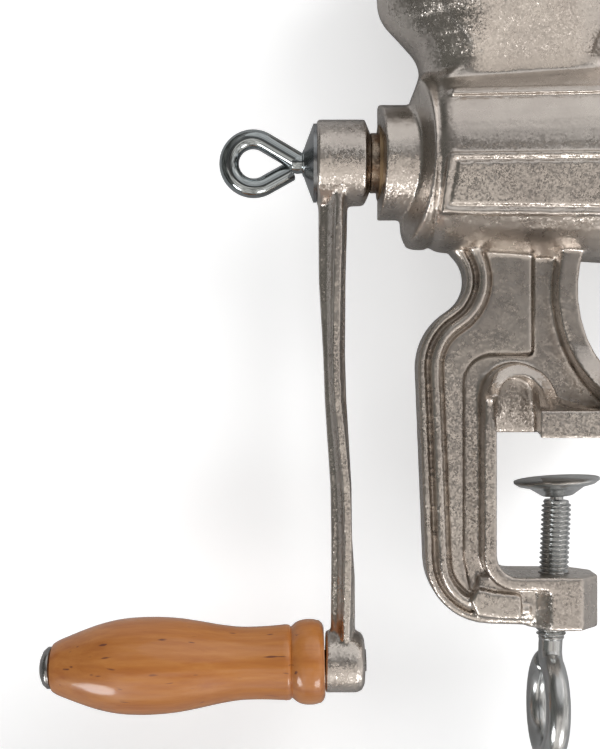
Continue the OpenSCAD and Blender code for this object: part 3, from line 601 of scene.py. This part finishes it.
loop_c = Vector((NECK_X - NECK_LEN - LOOP_AWAY, 0, AXIS_Z))
tangent = math.acos(LOOP_R / LOOP_AWAY)
slope_len = LOOP_AWAY * math.sin(tangent)
down = Vector((math.sin(tangent), 0, -math.cos(tangent)))
back = Vector((math.sin(tangent), 0, math.cos(tangent)))
up_point = loop_c + LOOP_R * Vector((math.cos(tangent), 0, math.sin(tangent)))
low_point = loop_c + LOOP_R * Vector((math.cos(tangent), 0, -math.sin(tangent)))
path = [up_point + down * (slope_len * (1 - i / SLOPE_STEPS)) for i in range(SLOPE_STEPS)]
for i in range(LOOP_STEPS + 1):
    a = tangent + (2 * math.pi - 2 * tangent) * i / LOOP_STEPS
    behind = LOOP_BEHIND * (i / LOOP_STEPS) ** 2
    path.append(loop_c + LOOP_R * Vector((math.cos(a), 0, math.sin(a))) + Vector((0, behind, 0)))
path += [low_point + back * (i * RETURN_STEP) + Vector((0, LOOP_BEHIND + i * RETURN_BEHIND, 0))
         for i in range(1, RETURN_STEPS + 1)]
bent = tube("bent", path, BOLT_ROD_R)
shoulder = lathe("shoulder", in_metres(SHOULDER), (NECK_X, 0, AXIS_Z), (1, 0, 0))
shank = thread("shank", (NECK_X + SHANK_START, 0, AXIS_Z), (1, 0, 0), BOLT_R, BOLT_THREAD_DEPTH, BOLT_PITCH,
               SHANK_LEN)
dress(join("eye_bolt", [bent, shoulder, shank]), PLATED, "bolt", "crank_bolt")

# Clamp screw: ball end, threaded rod and a loop bent from the same rod. Places along its axis are Z in mm
LEAN_AXIS = Vector((math.sin(SCREW_LEAN), 0, math.cos(SCREW_LEAN)))
SCREW_END = -76.5
SCREW_TOP = -25.1
BALL_Z = -21.5
BALL = [(0.4, -3.6), (2.4, -3.3), (2.4, -2.4), (3.4, 0), (2.4, 2.4), (0.4, 3.37)]
BALL_SIDES = 48
CLAMP_LOOP_Z = -101.35
CLAMP_LOOP_R = 16.5 * MM
CLAMP_ROD_R = 4.35 * MM
CLAMP_ROD_IN = 1.2
CLAMP_ROD_POINTS = 7
CLAMP_LOOP_FROM = 8
CLAMP_LOOP_SWEEP = 330
CLAMP_LOOP_STEPS = 64


def on_screw(z):
    return SCREW_PIVOT + LEAN_AXIS * (z * MM - SCREW_PIVOT.z)


rod = thread("rod", on_screw(SCREW_END), LEAN_AXIS, SCREW_R, SCREW_THREAD_DEPTH, SCREW_PITCH,
             (SCREW_TOP - SCREW_END) * MM)
ball = lathe("ball", in_metres(BALL), on_screw(BALL_Z), LEAN_AXIS, BALL_SIDES)
loop_centre = on_screw(CLAMP_LOOP_Z)
across = Vector((0, 1, 0))
clamp_path = [on_screw(SCREW_END + CLAMP_ROD_IN - i) for i in range(CLAMP_ROD_POINTS)]
for i in range(CLAMP_LOOP_STEPS + 1):
    a = math.radians(CLAMP_LOOP_FROM + CLAMP_LOOP_SWEEP * i / CLAMP_LOOP_STEPS)
    clamp_path.append(loop_centre + CLAMP_LOOP_R * (math.cos(a) * LEAN_AXIS - math.sin(a) * across))
clamp_loop = tube("clamp_loop", clamp_path, CLAMP_ROD_R)
dress(join("clamp_bolt", [rod, ball, clamp_loop]), ZINC, "screw", "clamp_screw")

# Grip: turned along its own axis from (run, radius) points in mm, with a groove and a bead next to the crank
GRIP_FRONT = Vector((-85.4, 0, -84.8)) * MM
GRIP_TILT = math.radians(1.4)
GRIP_AXIS = Vector((-math.cos(GRIP_TILT), 0, -math.sin(GRIP_TILT)))
GRIP_LEN = 100.1
GRIP_SIDES = 128
GRIP_STEP = 1.0
GRIP_LINE = [
    (0, 12.6), (0.6, 13.9), (2.6, 15.0), (5.6, 15.4), (8.6, 15.0), (10.6, 14.1), (11.5, 13.3), (12.1, 12.8),
    (12.7, 13.4), (13.4, 13.6), (16, 13.5), (20, 13.25), (25, 13.1), (31, 13.2), (38, 14.1), (46, 15.6),
    (54, 16.9), (62, 17.5), (69, 17.5), (76, 16.9), (83, 15.4), (90, 13.1), (95, 11.2), (98, 10.0),
    (99, 9.5), (GRIP_LEN, 8.8)]


def even_line(line, step):
    """More points on a smooth curve through a line of (run, radius) points."""
    runs = np.array([p[0] for p in line])
    radii = np.array([p[1] for p in line])
    slopes = np.gradient(radii, runs)
    made = []
    for i in range(len(line) - 1):
        width = runs[i + 1] - runs[i]
        for t in np.arange(0, 1, min(1, step / width)):
            radius = ((1 + 2 * t) * (1 - t) ** 2 * radii[i] + t * (1 - t) ** 2 * width * slopes[i]
                      + t * t * (3 - 2 * t) * radii[i + 1] + t * t * (t - 1) * width * slopes[i + 1])
            made.append((runs[i] + t * width, radius))
    return made + [line[-1]]


grip_outline = [(r * MM, run * MM) for run, r in even_line(GRIP_LINE, GRIP_STEP)]
grip_outline = [(SPINDLE_BORE_R, 0)] + grip_outline + [(SPINDLE_BORE_R, GRIP_LEN * MM)]
grip = lathe("wooden_grip", grip_outline, GRIP_FRONT, GRIP_AXIS, GRIP_SIDES, bored=True)
grip.data.set_sharp_from_angle(angle=math.radians(50))
dress(grip, WOOD, "handle", "grip")

# Pieces that keep their CAD shape
for cad, name, material, body, slot in [
        ("rear_bush", "bush", BRONZE, "casting", "bronze"),
        ("thrust_washer", "worm_washer", BRONZE, "casting", "bronze"),
        ("plate_pin", "key_pin", STEEL, "casting", "bright_steel"),
        ("drive_stud", "stud", STEEL, "rotor", "bright_steel"),
        ("knife", "cutter", STEEL, "rotor", "bright_steel"),
        ("grinding_plate", "perforated_plate", STEEL, "plate", "bright_steel"),
        ("cone_washer", "bolt_cone", DULL_PLATED, "washer", "plated_bolt"),
        ("grip_spindle", "rivet", OLD_STEEL, "rotor", "bright_steel"),
        ("clamp_pad", "swivel_pad", ZINC, "pad", "grey_steel")]:
    dress(plain_copy(cad, name), material, body, cad)


# Stage: the pale sheet that the grinder lies on in the photograph, and a floor under it
SHEET_COLOUR = (0.80, 0.80, 0.80)
SHEET_IN_MIRROR = (0.50, 0.50, 0.50)
SHEET_ROUGH = 0.9
SHEET_GLOW = 0.52
SHEET_Y = 0.050
SHEET_TOP = 0.75
SHEET_SIDE = 0.9
FLOOR_Z = -0.150
FLOOR_FRONT = -0.015


def pale_sheet(name):
    """A matt white sheet that glows for camera rays, is darker in mirrors and is clear from behind."""
    material, tree, shader = new_material(name)
    shader.inputs["Roughness"].default_value = SHEET_ROUGH
    shader.inputs["Specular IOR Level"].default_value = 0.0
    ray = node(tree, "ShaderNodeLightPath")
    tree.links.new(mixed(tree, ray.outputs["Is Glossy Ray"], SHEET_COLOUR, SHEET_IN_MIRROR),
                   shader.inputs["Base Color"])
    shader.inputs["Emission Color"].default_value = (1, 1, 1, 1)
    glow = map_range(tree, ray.outputs["Is Camera Ray"], 0, 1, 0, SHEET_GLOW)
    tree.links.new(glow, shader.inputs["Emission Strength"])
    mix = node(tree, "ShaderNodeMixShader")
    tree.links.new(node(tree, "ShaderNodeNewGeometry").outputs["Backfacing"], mix.inputs[0])
    tree.links.new(shader.outputs[0], mix.inputs[1])
    tree.links.new(node(tree, "ShaderNodeBsdfTransparent").outputs[0], mix.inputs[2])
    tree.links.new(mix.outputs[0], tree.nodes["Material Output"].inputs["Surface"])
    return material


def stage_sheet(name, low, high, material):
    """A flat rectangle between the two corners of its lower and of its upper edge, which run along X."""
    corners = [(-SHEET_SIDE, *low), (SHEET_SIDE, *low), (SHEET_SIDE, *high), (-SHEET_SIDE, *high)]
    flat = mesh_object(name, corners, [(0, 1, 2, 3)], False)
    flat.data.materials.append(material)


SHEET = pale_sheet("pale_sheet")
stage_sheet("floor", (FLOOR_FRONT, FLOOR_Z), (SHEET_Y, FLOOR_Z), SHEET)
stage_sheet("sheet", (SHEET_Y, FLOOR_Z), (SHEET_Y, SHEET_TOP), SHEET)

# Light: name, place, target, size, power, and whether mirrors show it
LAMPS = [
    ("key", (0.35, -0.75, 0.95), (-0.05, 0, 0.02), 1.7, 3.2, True),
    ("shade", (0.50, -0.60, 0.70), (-0.05, 0.05, 0), 0.7, 6.0, False),
    ("low_left", (-0.586, -0.42, -0.62), (-0.12, 0, -0.03), 0.34, 2.0, True),
    ("low_right", (0.278, -0.44, -0.64), (-0.08, 0, -0.03), 0.30, 1.4, True)]
for name, place, target, size, power, mirrored in LAMPS:
    data = bpy.data.lights.new(name, "AREA")
    data.shape = "DISK"
    data.size = size
    data.energy = power
    lamp = bpy.data.objects.new(name, data)
    lamp.location = place
    lamp.rotation_euler = (Vector(target) - Vector(place)).to_track_quat("-Z", "Y").to_euler()
    lamp.visible_glossy = mirrored
    bpy.context.scene.collection.objects.link(lamp)

# World: even light for matt surfaces, and for mirror rays a patchy room that is bright low down and to the
# right, and dark to the left and from just under the camera's level up. ROOM_UP runs from straight down to
# straight up
ROOM_UP = [
    (0.00, (0.20, 0.18, 0.16)), (0.02, (0.48, 0.44, 0.40)), (0.06, (0.90, 0.85, 0.79)),
    (0.25, (1.00, 0.94, 0.88)), (0.43, (0.95, 0.90, 0.84)), (0.460, (0.78, 0.73, 0.68)),
    (0.488, (0.17, 0.155, 0.145)), (0.54, (0.13, 0.125, 0.12)), (0.64, (0.18, 0.18, 0.18)),
    (0.75, (0.30, 0.29, 0.28)), (0.88, (0.38, 0.37, 0.36)), (1.00, (0.36, 0.35, 0.34))]
ROOM_LEFT = (0.13, 0.13, 0.12)
ROOM_LEFT_X = (-0.28, -0.62)
ROOM_RIGHT = (0.80, 0.77, 0.74)
ROOM_RIGHT_X = (0.30, 0.75)
PATCH_SIZE = 5.0
PATCHES = [(0.34, 0.30), (0.50, 0.95), (0.66, 1.65)]
MATT_LEVEL = 0.36

world = bpy.data.worlds.new("studio")
world.use_nodes = True
bpy.context.scene.world = world
wt = world.node_tree
aim = node(wt, "ShaderNodeTexCoord").outputs["Generated"]
to_right = node_output(wt, aim, "X")
room_colour = ramp(wt, map_range(wt, node_output(wt, aim, "Z"), -1.0, 1.0), ROOM_UP)
room_colour = mixed(wt, map_range(wt, to_right, *ROOM_LEFT_X, kind="SMOOTHSTEP"), room_colour, ROOM_LEFT)
room_colour = mixed(wt, map_range(wt, to_right, *ROOM_RIGHT_X, kind="SMOOTHSTEP"), room_colour, ROOM_RIGHT)
patches = ramp(wt, noise(wt, aim, PATCH_SIZE, 2, 0.6), PATCHES)
room_colour = mixed(wt, 1.0, room_colour, patches, "MULTIPLY")
room = node(wt, "ShaderNodeBackground", Strength=1.0)
wt.links.new(room_colour, room.inputs["Color"])
ray = node(wt, "ShaderNodeLightPath")
plain = wt.nodes["Background"]
plain.inputs["Color"].default_value = (1, 1, 1, 1)
wt.links.new(map_range(wt, ray.outputs["Is Camera Ray"], 0, 1, MATT_LEVEL, 1.0), plain.inputs["Strength"])
choose = node(wt, "ShaderNodeMixShader")
wt.links.new(ray.outputs["Is Glossy Ray"], choose.inputs[0])
wt.links.new(plain.outputs[0], choose.inputs[1])
wt.links.new(room.outputs[0], choose.inputs[2])
wt.links.new(choose.outputs[0], wt.nodes["World Output"].inputs["Surface"])

# Camera: level, square to the parting plane, as the photograph was taken
CAMERA_AT = Vector((-94.4, -400, 21.3)) * MM
PICTURE_HIGH = 749
FOCAL_PIXELS = 1080
SENSOR = 36.0
camera_data = bpy.data.cameras.new("camera")
camera_data.sensor_fit = "VERTICAL"
camera_data.sensor_height = SENSOR
camera_data.lens = FOCAL_PIXELS / PICTURE_HIGH * SENSOR
camera_data.clip_start = 0.01
camera_data.clip_end = 20
camera = bpy.data.objects.new("camera", camera_data)
camera.location = CAMERA_AT
camera.rotation_euler = (math.pi / 2, 0, 0)
bpy.context.scene.collection.objects.link(camera)
bpy.context.scene.camera = camera
bpy.context.scene.view_settings.view_transform = "Standard"
